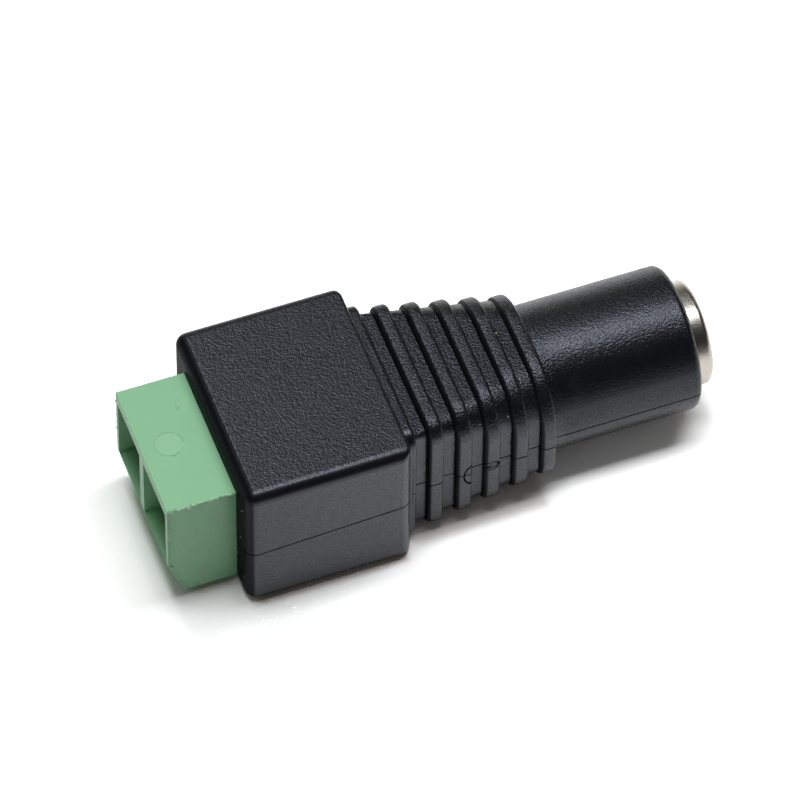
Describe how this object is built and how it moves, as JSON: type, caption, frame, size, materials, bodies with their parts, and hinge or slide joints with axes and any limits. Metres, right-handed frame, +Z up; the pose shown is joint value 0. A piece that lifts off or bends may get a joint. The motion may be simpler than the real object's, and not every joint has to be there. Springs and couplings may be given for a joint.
{
  "type": "dc power connector",
  "caption": "Inline power adapter: a coaxial barrel socket in a ribbed black moulding, with a green screw terminal whose rising cages clamp bare wires.",
  "frame": {"origin": "middle of the whole adapter in plan, on the surface that its underside lies on", "axes": "+X from the wire entries to the barrel socket, +Z up, away from the terminal screws, +Y to the left"},
  "size_m": [0.038, 0.0142, 0.0113],
  "materials": {
    "black_shell": "fine leather grain, soft moulded plastic",
    "green_housing": "satin moulded polyamide",
    "nickel_plated_brass": "bright nickel plate",
    "zinc_plated_steel": "bright zinc plate",
    "tinned_brass": "satin tin plate",
    "black_insulator": "satin moulded plastic",
    "natural_plastic": "uncoloured moulded plastic",
    "bare_copper": "bare copper",
    "tin_solder": "solder",
    "red_insulation": "wire insulation",
    "black_insulation": "wire insulation"
  },
  "bodies": {
    "housing": {"shell": "black_shell", "terminal_block": "green_housing", "jack_sleeve": "nickel_plated_brass", "jack_insulator": "black_insulator", "centre_pin": "nickel_plated_brass", "pin_lug": "tinned_brass", "inner_mould": "natural_plastic", "solder_pin": "tin_solder", "solder_sleeve": "tin_solder", "contact_bar_left": "tinned_brass", "link_wire_left": "bare_copper", "solder_bar_left": "tin_solder", "contact_bar_right": "tinned_brass", "link_wire_right": "bare_copper", "solder_bar_right": "tin_solder", "link_jacket_left": "red_insulation", "link_jacket_right": "black_insulation"},
    "screw_left": {"clamp_screw_left": "zinc_plated_steel"},
    "cage_left": {"clamp_cage_left": "zinc_plated_steel"},
    "screw_right": {"clamp_screw_right": "zinc_plated_steel"},
    "cage_right": {"clamp_cage_right": "zinc_plated_steel"}
  },
  "joints": [
    {"name": "cage_left_rise", "type": "slide", "parent": "housing", "child": "cage_left", "axis": [0, 0, -1], "range_m": [0, 0.0018]},
    {"name": "screw_left_turn", "type": "hinge", "parent": "housing", "child": "screw_left", "pos_m": [-0.016, 0.0025, 0.002], "axis": [0, 0, 1], "range_deg": [0, 1440]},
    {"name": "cage_right_rise", "type": "slide", "parent": "housing", "child": "cage_right", "axis": [0, 0, -1], "range_m": [0, 0.0018]},
    {"name": "screw_right_turn", "type": "hinge", "parent": "housing", "child": "screw_right", "pos_m": [-0.016, -0.0025, 0.002], "axis": [0, 0, 1], "range_deg": [0, 1440]}
  ],
  "couplings": [
    {"joint": "screw_left_turn", "follows": "cage_left_rise", "rad_per_m": 13963},
    {"joint": "screw_right_turn", "follows": "cage_right_rise", "rad_per_m": 13963}
  ]
}
